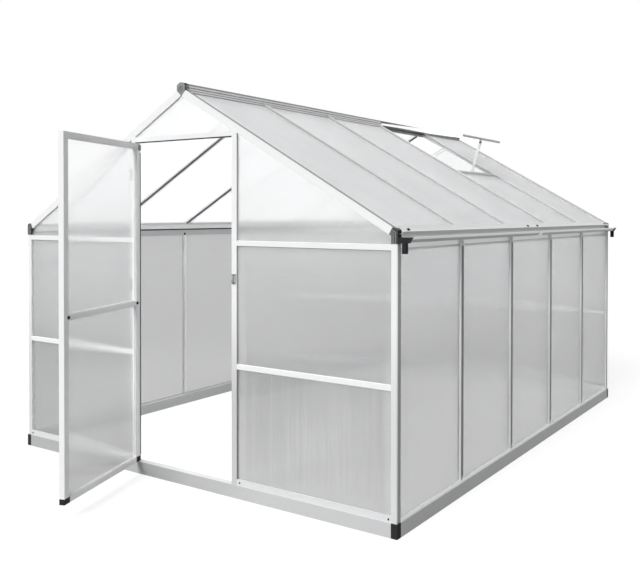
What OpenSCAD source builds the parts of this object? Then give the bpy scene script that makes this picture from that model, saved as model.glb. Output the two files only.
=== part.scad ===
// Walk-in greenhouse: aluminium frame glazed with twin-wall panels, one hinged door, one roof vent.
// Millimetres, +Z up. The ground is z = 0, the front wall plane is y = 0, the doorway is centred on x = 0.
// The door stands open and the vent is propped up on its stay.

/* [House] */
// overall width over the corner posts
house_w = 2500; // [2300:10:2700]
// spacing of the glazing bars along the side walls
bay = 604; // [560:1:640]
// number of bays along each side
bays = 5; // [5:1:6]
// height of the corner posts' tops, where the roof starts
eave_z = 1224; // [1150:1:1300]
// height of the roof's outer surface on the centre line
apex_z = 1974; // [1940:1:2010]
// height of the roof's outer surface above the posts' tops, over the walls
eave_rise = 56; // [52:1:62]

/* [Base] */
// height of the base boards and corner feet
base_h = 62; // [50:1:80]
// how far the base stands proud of the walls
base_out = 4; // [2:0.5:8]
// depth of the base boards' flanges
base_d = 26; // [24:1:32]
// sheet thickness of the base boards
base_t = 2.5; // [2:0.1:4]
// thickness of the threshold plate in the doorway
threshold_t = 2; // [1.5:0.5:4]

/* [Glazing bars] */
// width of a bar's outer cap
cap_w = 27; // [26:1:32]
// thickness of a bar's outer cap, by which it stands proud of the panels
cap_t = 10; // [6:0.5:12]
// width of the bevels along a cap's edges
cap_bevel = 2; // [1:0.5:4]
// thickness of the panels
pane_t = 4; // [3:0.1:6]
// play of a panel in its slot
pane_play = 0.2; // [0.1:0.05:0.4]
// gap between a panel's edge and a bar's web
pane_edge = 1.5; // [1:0.1:3]
// thickness of a bar's web
web_t = 4; // [3:0.1:6]
// width of the inner lips that hold the panels
lip_w = 24; // [18:1:28]
// thickness of the inner lips
lip_t = 2.4; // [2:0.1:3]
// depth of a bar from cap to foot
bar_d = 26; // [22:1:34]
// width of a bar's inner foot
foot_w = 14; // [10:1:20]

/* [Sills] */
// height of the front and rear sills' outer lips
sill_h = 28; // [20:1:36]
// height of the side sills' outer lips
side_sill_h = 14; // [12:1:24]
// greatest height of the sills' inner lips
sill_lip = 18; // [10:1:24]

/* [Walls] */
// centre height of the mid rails
mid_rail_z = 623.5; // [560:0.5:700]
// clear width of the doorway between its posts
door_opening = 668; // [600:1:720]
// face width of the door posts
post_face = 32; // [28:1:40]
// wall thickness of the door posts and the header
post_t = 3; // [2:0.5:4]
// clearance between the door header's top corners and the rafters
header_gap = 6.4; // [2:0.1:40]
// height of the door header's face
header_h = 28; // [24:1:36]

/* [Roof] */
// depth of the gable rafters' faces
rafter_face = 36; // [34:1:42]
// width of the rafters' flanges over the roof panels
rafter_flange = 24; // [20:1:28]
// width of the ridge beam
ridge_w = 54; // [48:1:62]
// height of the ridge's crown above the roof's apex
ridge_top = 22; // [16:1:28]
// height of the ridge's flanks above the roof's apex
ridge_shoulder = 7; // [4:1:10]
// depth of the ridge's lower edge below the roof's apex
ridge_tip = 42; // [38:1:50]
// depth of the roof panels in the ridge's slots
ridge_grip = 8; // [6:0.5:10]
// width of the groove along each flank of the ridge
groove_w = 4; // [2:0.5:6]
// depth of that groove
groove_d = 2.5; // [1:0.5:4]
// thickness of the ridge's end caps
ridge_skin = 1.5; // [1:0.1:3]
// length of the end caps along the ridge
ridge_wrap = 28; // [20:1:40]
// diameter of the dish in an end cap's face
dish_d = 32; // [24:1:36]
// distance of the rafters' lower ends from the walls, up the slope
rafter_back = 27; // [25:1:30]

/* [Eaves] */
// width of the flange that covers the panels' lower ends
eave_flange = 50; // [40:1:60]
// how far the roof reaches past the wall, along the slope
eave_over = 13; // [8:1:20]
// depth of the apron's lower edge below the posts' tops
apron_drop = 17; // [14:1:22]
// height by which the apron's inner lip laps the wall panels
apron_lap = 12; // [8:1:16]
// how far the gutter's floor reaches out from the wall
gutter_floor = 42; // [36:1:48]
// how far the gutter's splayed wall reaches out from the wall
gutter_out = 57; // [52:1:66]
// height of the gutter's floor above the posts' tops
gutter_rise = 5; // [3:0.5:8]
// height of the gutter's splayed wall
gutter_lip = 22; // [16:1:28]
// sheet thickness of the gutter
gutter_t = 2.5; // [2:0.1:3]
// outer diameter of the outlets
spout_d = 26; // [22:1:30]
// bore of the outlets
spout_bore = 20; // [16:1:20]
// length of the outlets below the gutter's floor
spout_l = 46; // [30:1:70]
// wall thickness of the outlets' hoppers
spout_t = 2.5; // [2:0.1:4]

/* [Vent] */
// bay that carries the vent, counted from the front
vent_bay = 4; // [2:1:4]
// length of the vent sash down the slope
vent_l = 634; // [580:1:650]
// centre of the vent's sill down the slope
vent_sill_s = 706; // [690:1:740]
// angle at which the sash is propped open
vent_open = 19.2; // [12:0.1:26]
// thickness of the sash
sash_t = 14; // [12:0.5:20]
// face width of the sash's rails
sash_w = 24; // [20:1:32]
// gap between the sash's sides and the middle of the bars beside it
sash_gap = 6; // [4:1:10]
// thickness of the rails below the pane
sash_under = 4.5; // [3:0.5:6]
// depth of the pane's slot in the rails
sash_slot = 8; // [6:0.5:10]
// width of the stay
stay_w = 18; // [12:1:22]
// thickness of the stay
stay_t = 4; // [3:0.5:6]
// distance of the stay's pivot from the sash's lower edge
stay_in = 14; // [12:1:24]
// drop of the pivot below the sash
stay_drop = 17; // [14:1:24]
// distance of the stay's crank from the sill, up the slope
stay_crank = 40; // [36:1:60]
// depth of the crank below the roof's surface
stay_sink = 18; // [0:1:24]
// length of the stay's tail
stay_tail_l = 214; // [120:1:260]
// lean of the tail from upright
stay_tail_lean = 39; // [20:1:50]

/* [Door] */
// angle at which the door stands open
door_open = 70; // [0:1:150]
// gap around the closed leaf
door_gap = 6; // [5:0.5:8]
// thickness of the leaf
leaf_t = 26; // [22:1:32]
// face width of the leaf's stiles
stile_w = 40; // [32:1:48]
// face height of the leaf's rails
rail_h = 30; // [24:1:40]
// width of the glazing beads round the panes
bead_w = 6; // [4:0.5:8]
// depth of the beads behind the leaf's faces
bead_step = 5; // [2:0.5:5]
// depth of the panes' slots in the leaf
slot_d = 8; // [6:0.5:10]
// distance of the panes from the leaf's outer face
slot_in = 10; // [8:0.5:11]
// distance of the outer hinges from the leaf's ends
hinge_in = 190; // [120:1:260]
// height of the middle hinge above the middle of the leaf
hinge_up = 60; // [0:1:90]
// distance of the hinge line in front of the walls
hinge_out = 7; // [6.5:0.5:10]
// outer diameter of a hinge knuckle
knuckle_d = 12; // [10:0.5:12.5]
// diameter of a hinge pin
pin_d = 6; // [5:0.5:7]
// running clearance round a hinge pin
pin_play = 0.08; // [0.02:0.01:0.1]
// height of the latch above the middle of the leaf
latch_up = 116; // [80:1:160]
// length of the latch's backplate
latch_l = 86; // [60:1:110]
// width of the latch's backplate
latch_w = 16; // [12:1:22]
// length of the latch's keeper
keeper_l = 48; // [36:1:60]
// height of the keeper's foot above the latch
keeper_up = 10; // [0:1:20]

/* [Hidden] */
$fn = 48;
over = 1;
house_l = bay * bays;
half_w = house_w / 2;
corner = 30;
seat = cap_t + pane_t + pane_play;
lip_in = seat + lip_t;
cell = 14;
cell_t = 2;
post_bevel = 2 * cap_bevel;
post_lip_in = 4;
pane_corner = cell + cell_t + pane_edge;
foot = base_d + 1;
eave_rail_z = eave_z - apron_drop + 0.5;
sill_z = base_h + sill_h;
side_sill_z = base_h + side_sill_h;
pane_foot = base_h + lip_t + pane_edge;
web_gap = web_t / 2 + pane_edge;
apron_z = eave_z - apron_drop;
apron_foot = apron_z - apron_lap;
gutter_z = eave_z + gutter_rise;
pitch = atan((apex_z - eave_z - eave_rise) / half_w);
rise_s = sin(pitch);
run_c = cos(pitch);
wall_s = half_w / run_c;
end_s = wall_s + eave_over;
flange_s = end_s - eave_flange;
rafter_s = wall_s - rafter_back;
knee_in = rafter_face - 2;
knee_out = 2;
knee_top = 3.5;
knee_front = 1.5;
knee_peak = [10, 9];
knee_ribs = [4, 12, 21];
rib_w = 3;
rib_out = 1.2;
mitre_gap = 0.2;
ridge_slot_s = ridge_w / 2 / run_c - ridge_grip;
ridge_wall = 2;
cap_face = 1;
dish_drop = 11;
crown_rise = ridge_top - ridge_shoulder;
crown_r = (pow(ridge_w / 2, 2) + pow(crown_rise, 2)) / (2 * crown_rise);
spout_x = half_w + gutter_floor - spout_d / 2 + knee_out;
spout_y = 9;
spout_gap = 1;
skim = 0.01;
stud_in = door_opening / 2;
header_z = apex_z - (stud_in * rise_s + rafter_face) / run_c - header_gap - header_h;
stud_out = stud_in + post_face;
stud_x = stud_in + post_face / 2;
post_cell = 14;
post_return = 20;
reveal_d = bar_d + 2;
header_cell = 9;
leaf_w = door_opening - 2 * door_gap;
leaf_z = base_h + threshold_t + door_gap;
leaf_top = header_z - door_gap;
leaf_mid = (leaf_z + leaf_top) / 2;
hinge_x = -stud_in + door_gap / 2;
cap_end = 26;
rail_step = 1;
hinge_len = 60;
hinge_t = 2.5;
hinge_edge = 4;
hinge_bite = 0.5;
hinge_arm = [8, 4];
knuckle_gap = 1;
hinge_zs = [leaf_z + hinge_in, leaf_mid + hinge_up, leaf_top - hinge_in];
vent_y = bay * (vent_bay - 0.5);
vent_w = bay - 2 * sash_gap;
vent_lift = 1;
vent_hinge_s = (ridge_w / 2 - vent_lift * rise_s) / run_c + mitre_gap;
stay_y = 2;
stay_play = 0.2;

// Colours of the finished surfaces.
function white() = [0.86, 0.87, 0.88];
function grey() = [0.62, 0.63, 0.65];
function clear() = [0.9, 0.93, 0.95, 0.5];
function black() = [0.13, 0.13, 0.14];

// Point of the roof's section, s down the slope and n below the outer surface.
function roof_pt(s, n) = [s * run_c - n * rise_s, apex_z - s * rise_s - n * run_c];

// Point of the open sash's section, x down the sash and z out of it.
function sash_pt(x, z) = roof_pt(vent_hinge_s + x * cos(vent_open) - z * sin(vent_open),
    -vent_lift - x * sin(vent_open) - z * cos(vent_open));

// Points of a line that runs round the eave knee, d from its inner edge: rafter end, bend and foot.
function knee_line(d) = let (x = half_w - corner + d, n = knee_in - d)
    [roof_pt(rafter_s, n), roof_pt((x + n * rise_s) / run_c, n), [x, eave_z]];

// Section of a glazing bar: bevelled cap outside, slots for two panels, lips, web and foot.
module bar_section() {
    h = cap_w / 2;
    w = web_t / 2;
    k = lip_w / 2;
    f = foot_w / 2;
    g = bar_d - lip_t;
    polygon([[cap_bevel - h, 0], [h - cap_bevel, 0], [h, cap_t / 2], [h, cap_t], [w, cap_t], [w, seat],
        [k, seat], [k, lip_in], [w, lip_in], [w, g], [f, g], [f, bar_d], [-f, bar_d], [-f, g], [-w, g],
        [-w, lip_in], [-k, lip_in], [-k, seat], [-w, seat], [-w, cap_t], [-h, cap_t], [-h, cap_t / 2]]);
}

// Upright glazing bar of a wall, x along the wall, y inward.
module upright(x, z0, z1) {
    translate([x, 0, z0])
        linear_extrude(height = z1 - z0)
            bar_section();
}

// Level glazing bar of a wall.
module level(x0, x1, z) {
    translate([x1, 0, z])
        rotate([0, -90, 0])
            linear_extrude(height = x1 - x0)
                bar_section();
}

// Panel of a wall, seated against the back of the caps.
module pane(x0, x1, z0, z1) {
    translate([x0, cap_t, z0])
        cube([x1 - x0, pane_t, z1 - z0]);
}

// Sill channel of a wall: outer lip, floor and inner lip.
module sill(x0, x1, lip) {
    translate([x0, 0, base_h])
        cube([x1 - x0, cap_t, lip]);
    translate([x0, 0, base_h])
        cube([x1 - x0, bar_d, lip_t]);
    translate([x0, seat, base_h])
        cube([x1 - x0, lip_t, min(lip - cap_bevel, sill_lip)]);
}

// Base board of a wall: a hollow box section.
module board(x0, x1) {
    depth = base_d + base_out;
    difference() {
        translate([x0, -base_out, 0])
            cube([x1 - x0, depth, base_h]);
        translate([x0 - over, base_t - base_out, base_t])
            cube([x1 - x0 + 2 * over, depth - 2 * base_t, base_h - 2 * base_t]);
    }
}

// Wall frames: x along the wall, y inward.
module rear_wall() {
    translate([0, house_l, 0])
        mirror([0, 1, 0])
            children();
}

module right_wall() {
    translate([half_w, 0, 0])
        rotate([0, 0, 90])
            children();
}

module left_wall() {
    mirror([1, 0, 0])
        right_wall()
            children();
}

// Roof frame of the right slope: x down the slope, z out of the roof.
module right_slope() {
    translate([0, 0, apex_z])
        rotate([0, pitch, 0])
            children();
}

module left_slope() {
    mirror([1, 0, 0])
        right_slope()
            children();
}

module both_sides() {
    children();
    mirror([1, 0, 0])
        children();
}

module both_ends() {
    children();
    rear_wall()
        children();
}

// Space above a line that lies n below both roof surfaces, and round the ridge, for cutting the gables.
module above_roof(n) {
    both_sides()
        right_slope()
            translate([-half_w, -bar_d, -n])
                cube([2 * house_w, 4 * bar_d, apex_z]);
    translate([-ridge_w / 2 - pane_edge, -bar_d, apex_z - ridge_tip - pane_edge])
        cube([ridge_w + 2 * pane_edge, 4 * bar_d, apex_z]);
}

// Space that the ridge takes from what runs up to its flanks.
module ridge_space() {
    translate([-ridge_w / 2, -over, eave_z])
        cube([ridge_w, house_l + 2 * over, apex_z]);
}

module base_front() {
    color(grey())
        board(-half_w + foot, half_w - foot);
}

module base_rear() {
    color(grey())
        rear_wall()
            board(-half_w + foot, half_w - foot);
}

module base_left() {
    color(grey())
        left_wall()
            board(foot, house_l - foot);
}

module base_right() {
    color(grey())
        right_wall()
            board(foot, house_l - foot);
}

// Moulded feet that join the base boards at the corners.
module corner_feet() {
    color(black())
        both_sides()
            both_ends()
                translate([half_w - foot, -base_out, 0])
                    cube([foot + base_out, foot + base_out, base_h]);
}

// Corner posts: a bevelled angle with a cell and two panel lips inside it.
module post_section() {
    lip_l = corner - post_lip_in - cell;
    difference() {
        union() {
            translate([half_w - corner, 0])
                square([corner, cap_t]);
            translate([half_w - cap_t, 0])
                square([cap_t, corner]);
            translate([half_w - cell - cell_t, 0])
                square([cell_t, cell + cell_t]);
            translate([half_w - cell - cell_t, cell])
                square([cell + cell_t, cell_t]);
            translate([half_w - corner + post_lip_in, seat])
                square([lip_l, lip_t]);
            translate([half_w - lip_in, cell])
                square([lip_t, lip_l]);
        }
        translate([half_w, 0])
            rotate(45)
                square(post_bevel * sqrt(2), center = true);
    }
}

module corner_posts() {
    color(white())
        both_sides()
            both_ends()
                translate([0, 0, base_h])
                    linear_extrude(height = eave_z - base_h)
                        post_section();
}

// Sills beside the doorway, and the threshold plate in it.
module front_sills() {
    color(white()) {
        both_sides()
            sill(stud_out, half_w - corner, sill_h);
        translate([-stud_in, -base_out, base_h])
            cube([door_opening, bar_d + base_out, threshold_t]);
    }
}

module rear_sill() {
    color(white())
        rear_wall()
            sill(-half_w + corner, half_w - corner, sill_h);
}

module left_sill() {
    color(white())
        left_wall()
            sill(corner, house_l - corner, side_sill_h);
}

module right_sill() {
    color(white())
        right_wall()
            sill(corner, house_l - corner, side_sill_h);
}

// Side wall bars: the cap runs on over the eave apron to a rounded end, the rest stops under it.
module wall_bars() {
    tongue = gutter_z - apron_foot - cap_w / 2;
    for (i = [1 : bays - 1]) {
        upright(bay * i, side_sill_z, apron_foot);
        translate([bay * i, cap_t, apron_foot - over])
            rotate([90, 0, 0])
                linear_extrude(height = cap_t) {
                    translate([-cap_w / 2, 0])
                        square([cap_w, tongue]);
                    translate([0, tongue])
                        circle(d = cap_w);
                }
    }
}

module left_wall_bars() {
    color(white())
        left_wall()
            wall_bars();
}

module right_wall_bars() {
    color(white())
        right_wall()
            wall_bars();
}

// Section of the eave beam: apron over the wall panels, splayed gutter with a rolled edge, and a
// channel round the roof panels' lower ends.
module eave_section() {
    x0 = half_w - lip_in;
    floor_x = half_w + gutter_floor;
    lip_x = half_w + gutter_out;
    lip_z = gutter_z + gutter_lip;
    top = apex_z - ((x0 + lip_t) * rise_s + seat + pane_play) / run_c;
    translate([x0, apron_foot])
        square([lip_t, top - apron_foot]);
    translate([x0, apron_z])
        square([lip_in - cap_t, gutter_z + gutter_t - apron_z]);
    translate([x0, gutter_z])
        square([floor_x - x0 - over, gutter_t]);
    polygon([[floor_x - 2 * gutter_t, gutter_z], [floor_x, gutter_z], [lip_x, lip_z],
        [lip_x - gutter_t, lip_z], [floor_x - gutter_t, gutter_z + gutter_t],
        [floor_x - 2 * gutter_t, gutter_z + gutter_t]]);
    translate([lip_x - gutter_t / 2, lip_z])
        circle(d = 2 * gutter_t);
    translate([0, apex_z])
        rotate(-pitch) {
            translate([flange_s, -cap_t])
                square([eave_flange, cap_t]);
            translate([flange_s, -lip_in])
                square([eave_flange, lip_t]);
            translate([end_s - gutter_t, -lip_in])
                square([gutter_t, lip_in]);
        }
}

// Outline of the gutter's trough, drawn in or out by g.
module trough_outline(g) {
    polygon([[half_w + gutter_t, gutter_z - g], [half_w + gutter_floor + g, gutter_z - g],
        [half_w + gutter_out + g, gutter_z + gutter_lip], [half_w + gutter_t, gutter_z + gutter_lip]]);
}

// Length of section that lies along the house from y0 to y1.
module along(y0, y1) {
    translate([0, y1, 0])
        rotate([90, 0, 0])
            linear_extrude(height = y1 - y0)
                children();
}

module eave_beam() {
    along(corner, house_l - corner)
        eave_section();
}

// The left gutter's ends are closed by plates.
module left_gutter() {
    color(white())
        mirror([1, 0, 0]) {
            eave_beam();
            both_ends()
                along(corner, corner + gutter_t)
                    trough_outline(0);
        }
}

module right_gutter() {
    color(white())
        eave_beam();
}

// Moulded knees between the corner posts and the gable rafters: ribbed in front, slotted for the roof panels.
module corner_cap() {
    edge = knee_line(0);
    difference() {
        along(-knee_front, corner)
            polygon([roof_pt(rafter_s, knee_top), edge[0], edge[1], edge[2], [half_w + knee_out, eave_z],
                [half_w + knee_out, eave_z + eave_rise + over],
                [half_w - knee_peak[0], eave_z + eave_rise + knee_peak[1]]]);
        right_slope()
            translate([rafter_s - corner, cap_t, -seat])
                cube([4 * corner, corner, seat - cap_t]);
    }
    for (d = knee_ribs) {
        inner = knee_line(d);
        outer = knee_line(d + rib_w);
        along(-knee_front - rib_out, -over)
            polygon([inner[0], inner[1], inner[2], outer[2], outer[1], outer[0]]);
    }
}

module corner_caps() {
    color(black())
        both_sides()
            both_ends()
                corner_cap();
}

// Gutter outlets: an open hopper on each end of the right gutter with a short tube below it.
module spout() {
    difference() {
        union() {
            along(-spout_t - knee_front, corner)
                intersection() {
                    trough_outline(spout_t);
                    translate([half_w + knee_out + spout_gap, 0])
                        square(house_w);
                }
            translate([spout_x, spout_y, gutter_z - spout_l])
                cylinder(d = spout_d, h = spout_l);
        }
        along(-knee_front, corner + over)
            translate([0, skim])
                intersection() {
                    trough_outline(0);
                    translate([half_w + knee_out + spout_gap + spout_t, 0])
                        square(house_w);
                }
        translate([spout_x, spout_y, gutter_z - spout_l - over])
            cylinder(d = spout_bore, h = spout_l + gutter_lip);
    }
}

module gutter_spouts() {
    color(black())
        both_ends()
            spout();
}

// Gable rafters: face plate up to the mitre, flange over the roof panels, lips for roof and gable panels.
module rafter() {
    difference() {
        right_slope()
            translate([0, 0, -rafter_face])
                cube([rafter_s, cap_t, rafter_face]);
        translate([-rafter_face, -over, eave_z])
            cube([rafter_face + mitre_gap, cap_t + 2 * over, apex_z]);
    }
    difference() {
        right_slope() {
            translate([0, 0, -cap_t])
                cube([rafter_s, rafter_flange, cap_t]);
            translate([0, 0, -lip_in])
                cube([rafter_s, rafter_flange, lip_t]);
            translate([0, seat, -rafter_face])
                cube([rafter_s, lip_t, rafter_face - seat]);
        }
        ridge_space();
    }
}

module front_rafters() {
    color(white())
        both_sides()
            rafter();
}

module rear_rafters() {
    color(white())
        rear_wall()
            both_sides()
                rafter();
}

// Roof bars between the ridge and the eave flange.
module roof_bars() {
    difference() {
        right_slope()
            for (i = [1 : bays - 1])
                translate([flange_s, bay * i, 0])
                    rotate([-90, 0, 90])
                        linear_extrude(height = flange_s)
                            bar_section();
        ridge_space();
    }
}

module left_roof_bars() {
    color(white())
        mirror([1, 0, 0])
            roof_bars();
}

module right_roof_bars() {
    color(white())
        roof_bars();
}

// Ridge outline above its shoulders, grown by g.
module crown_outline(g) {
    h = ridge_w / 2 + g;
    intersection() {
        translate([0, apex_z + ridge_top - crown_r])
            circle(r = crown_r + g);
        translate([-h, apex_z + ridge_shoulder - over])
            square([2 * h, crown_rise + g + 2 * over]);
    }
}

// Ridge outline, grown by g, with its flanks ending side below the apex.
module ridge_outline(g, side) {
    h = ridge_w / 2 + g;
    crown_outline(g);
    polygon([[-h, apex_z + ridge_shoulder], [h, apex_z + ridge_shoulder], [h, apex_z - side],
        [0, apex_z - ridge_tip], [-h, apex_z - side]]);
}

// Ridge beam with slots for the panels and a groove along each flank.
module ridge_beam() {
    side = (ridge_w / 2 * rise_s + lip_in + ridge_wall) / run_c;
    color(grey())
        difference() {
            along(cap_t, house_l - cap_t)
                ridge_outline(0, side);
            both_sides() {
                right_slope()
                    translate([ridge_slot_s - pane_edge, -over, -seat])
                        cube([ridge_w, house_l + 2 * over, seat - cap_t]);
                translate([ridge_w / 2 - groove_d, -over, apex_z - groove_w])
                    cube([ridge_w, house_l + 2 * over, groove_w]);
            }
        }
}

// End cap of the ridge: rimmed face against the gable, and a skin wrapped over the end of the beam.
module ridge_cap() {
    side = (ridge_w / 2 + ridge_skin) * rise_s / run_c;
    along(-ridge_skin - cap_face, -cap_face)
        difference() {
            ridge_outline(ridge_skin, side);
            translate([0, apex_z - dish_drop])
                circle(d = dish_d);
        }
    along(-cap_face, 0)
        ridge_outline(ridge_skin, side);
    difference() {
        along(-cap_face / 2, ridge_wrap)
            ridge_outline(ridge_skin, side);
        along(0, ridge_wrap + over)
            ridge_outline(0, side + ridge_tip);
        both_sides()
            right_slope()
                translate([-ridge_w, 0, -ridge_w])
                    cube([3 * ridge_w, ridge_wrap + over, ridge_w]);
    }
}

module ridge_end_caps() {
    color(grey())
        both_ends()
            ridge_cap();
}

// Door post: cap, reveal up to the header, inner flange and a lip for the wall panel.
module door_post() {
    h = apex_z - base_h;
    difference() {
        union() {
            translate([stud_in, 0, base_h])
                cube([post_face, cap_t, h]);
            translate([stud_in, 0, base_h])
                cube([post_t, reveal_d, header_z + post_t - base_h]);
            translate([stud_in, reveal_d - post_t, base_h])
                cube([post_return, post_t, header_z + post_t - base_h]);
            translate([stud_in + post_cell, 0, base_h])
                cube([cell_t, lip_in, h]);
            translate([stud_in + post_cell, seat, base_h])
                cube([post_face - post_cell - post_lip_in, lip_t, h]);
        }
        above_roof(rafter_face);
    }
}

module door_posts() {
    color(white())
        both_sides()
            door_post();
}

// Header over the doorway, with a lip for the small gable panel.
module door_header() {
    color(white())
        translate([-stud_in, 0, header_z]) {
            cube([door_opening, cap_t, header_h]);
            cube([door_opening, reveal_d, post_t]);
            translate([0, 0, header_cell])
                cube([door_opening, lip_in, cell_t]);
            translate([0, seat, header_cell])
                cube([door_opening, lip_t, header_h - header_cell - post_lip_in]);
        }
}

module front_rails() {
    color(white())
        both_sides()
            for (z = [mid_rail_z, eave_rail_z])
                level(stud_out, half_w - corner, z);
}

module rear_studs() {
    color(white())
        difference() {
            rear_wall()
                both_sides()
                    upright(stud_x, sill_z, apex_z);
            rear_wall()
                above_roof(rafter_face);
        }
}

module rear_rails() {
    color(white())
        rear_wall()
            for (z = [mid_rail_z, eave_rail_z]) {
                level(-stud_x + cap_w / 2, stud_x - cap_w / 2, z);
                both_sides()
                    level(stud_x + cap_w / 2, half_w - corner, z);
            }
}

// Two panels between sill and eave rail, and the gable panel above them, clear of the eave knee.
module end_panels(x0, x1, xg) {
    pane(x0, x1, pane_foot, mid_rail_z - web_gap);
    pane(x0, x1, mid_rail_z + web_gap, eave_rail_z - web_gap);
    difference() {
        pane(x0, xg, eave_rail_z + web_gap, apex_z);
        above_roof(lip_in + pane_edge);
        right_slope()
            translate([rafter_s - pane_edge, -bar_d, -knee_in - pane_edge])
                cube([house_w, 4 * bar_d, apex_z]);
    }
}

module front_panels() {
    x0 = stud_in + post_cell + cell_t + pane_edge;
    xh = stud_in + post_cell - pane_edge;
    color(clear()) {
        both_sides()
            end_panels(x0, half_w - pane_corner, half_w - corner - pane_edge);
        difference() {
            pane(-xh, xh, header_z + header_cell + cell_t + pane_edge, apex_z);
            above_roof(lip_in + pane_edge);
        }
    }
}

module rear_panels() {
    x = stud_x - web_gap;
    color(clear())
        rear_wall() {
            both_sides()
                end_panels(stud_x + web_gap, half_w - pane_corner, half_w - corner - pane_edge);
            end_panels(-x, x, x);
        }
}

// Side wall panels, one to each bay.
module wall_panels() {
    for (i = [0 : bays - 1])
        pane(i == 0 ? pane_corner : bay * i + web_gap,
            i == bays - 1 ? house_l - pane_corner : bay * (i + 1) - web_gap,
            pane_foot, apron_z - pane_edge);
}

module left_wall_panels() {
    color(clear())
        left_wall()
            wall_panels();
}

module right_wall_panels() {
    color(clear())
        right_wall()
            wall_panels();
}

// Roof panel of one bay from s0 to the eave channel.
module roof_pane(i, s0) {
    y0 = i == 0 ? cap_t + pane_edge : bay * i + web_gap;
    y1 = i == bays - 1 ? house_l - cap_t - pane_edge : bay * (i + 1) - web_gap;
    translate([s0, y0, -cap_t - pane_t])
        cube([end_s - gutter_t - pane_edge - s0, y1 - y0, pane_t]);
}

module left_roof_panels() {
    color(clear())
        left_slope()
            for (i = [0 : bays - 1])
                roof_pane(i, ridge_slot_s);
}

module right_roof_panels() {
    color(clear())
        right_slope()
            for (i = [0 : bays - 1])
                roof_pane(i, i == vent_bay - 1 ? vent_sill_s + web_gap : ridge_slot_s);
}

// Sill of the vent, between the two bars of its bay.
module vent_sill() {
    color(white())
        right_slope()
            translate([vent_sill_s, vent_y + bay / 2 - cap_w / 2, 0])
                rotate([-90, 0, 180])
                    linear_extrude(height = bay - cap_w)
                        bar_section();
}

// Frame of the propped vent: x down the sash, z out of it.
module vent_place() {
    right_slope()
        translate([vent_hinge_s, vent_y, vent_lift])
            rotate([0, -vent_open, 0])
                children();
}

// Sash of the vent: rails slotted round the pane, and a lug for the stay.
module vent_sash() {
    hole = sash_w - sash_slot;
    color(white())
        vent_place()
            difference() {
                union() {
                    translate([0, -vent_w / 2, 0])
                        cube([vent_l, vent_w, sash_t]);
                    translate([vent_l - stay_in - stay_w / 2, stay_y + stay_t + stay_play,
                        -stay_drop - stay_w / 2])
                        cube([stay_w, stay_t, stay_drop + stay_w / 2 + over]);
                }
                translate([sash_w, sash_w - vent_w / 2, -over])
                    cube([vent_l - 2 * sash_w, vent_w - 2 * sash_w, sash_t + 2 * over]);
                translate([hole, hole - vent_w / 2, sash_under])
                    cube([vent_l - 2 * hole, vent_w - 2 * hole, pane_t + pane_play]);
            }
}

module vent_pane() {
    e = sash_w - sash_slot + pane_edge;
    color(clear())
        vent_place()
            translate([e, e - vent_w / 2, sash_under])
                cube([vent_l - 2 * e, vent_w - 2 * e, pane_t]);
}

// Stay of the vent: a cranked flat bar that hangs from the sash's lug through the opening.
module vent_stay() {
    w = stay_w / 2;
    a = sash_pt(vent_l - stay_in, -stay_drop);
    b = roof_pt(vent_sill_s - stay_crank, stay_sink);
    lean = atan2(a[0] - b[0], a[1] - b[1]);
    turn = (lean + stay_tail_lean) / 2;
    m = w / cos((stay_tail_lean - lean) / 2);
    c = b - stay_tail_l * [sin(stay_tail_lean), cos(stay_tail_lean)];
    n1 = w * [cos(lean), -sin(lean)];
    nb = m * [cos(turn), -sin(turn)];
    n2 = w * [cos(stay_tail_lean), -sin(stay_tail_lean)];
    color(white())
        along(vent_y + stay_y, vent_y + stay_y + stay_t)
            polygon([a + n1, b + nb, c + n2, c - n2, b - nb, a - n1]);
}

// Fixed halves of the hinges: plate on the door post, two knuckles and the pin.
module hinge_bracket(z) {
    k = hinge_len / 3;
    translate([-stud_out + hinge_edge, -hinge_t, z])
        cube([post_face - hinge_edge - door_gap / 2 + hinge_bite, hinge_t, hinge_len]);
    for (dz = [0, 2 * k]) {
        translate([hinge_x, -hinge_out, z + dz])
            cylinder(d = knuckle_d, h = k);
        translate([hinge_x - hinge_arm[0], -hinge_out, z + dz])
            cube([hinge_arm[1], hinge_out - hinge_bite, k]);
    }
    translate([hinge_x, -hinge_out, z])
        cylinder(d = pin_d, h = hinge_len);
}

module hinge_brackets() {
    color(grey())
        for (z = hinge_zs)
            hinge_bracket(z);
}

// Keeper for the door's latch, on the other door post: plate and hook.
module door_catch() {
    plate_t = 3;
    hook_out = 9;
    hook_z = 9.5;
    hook_w = 14;
    hook_t = 4;
    color(grey())
        translate([stud_in, 0, leaf_mid + latch_up + keeper_up]) {
            translate([plate_t, -plate_t, 0])
                cube([post_face - 2 * plate_t, plate_t, keeper_l]);
            translate([over, -hook_out, hook_z])
                cube([hook_w, hook_out - plate_t + over, hook_w - hook_t]);
            translate([over + hook_w - hook_t, -hook_out, hook_z])
                cube([hook_t, hook_out - plate_t + over, keeper_l / 2]);
        }
}

// Door frame of reference: hinge line at the origin when closed, x along the leaf.
module leaf_place() {
    translate([hinge_x, -hinge_out, 0])
        rotate([0, 0, -door_open])
            translate([door_gap / 2, hinge_out, 0])
                children();
}

// Boxes round the leaf's two panes, reaching d past the panes' openings, from y0 to y1 in the leaf.
module pane_boxes(d, y0, y1) {
    for (z = [[leaf_z + rail_h, leaf_mid - rail_h / 2], [leaf_mid + rail_h / 2, leaf_top - rail_h]])
        translate([stile_w - d, y0, z[0] - d])
            cube([leaf_w - 2 * (stile_w - d), y1 - y0, z[1] - z[0] + 2 * d]);
}

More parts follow.
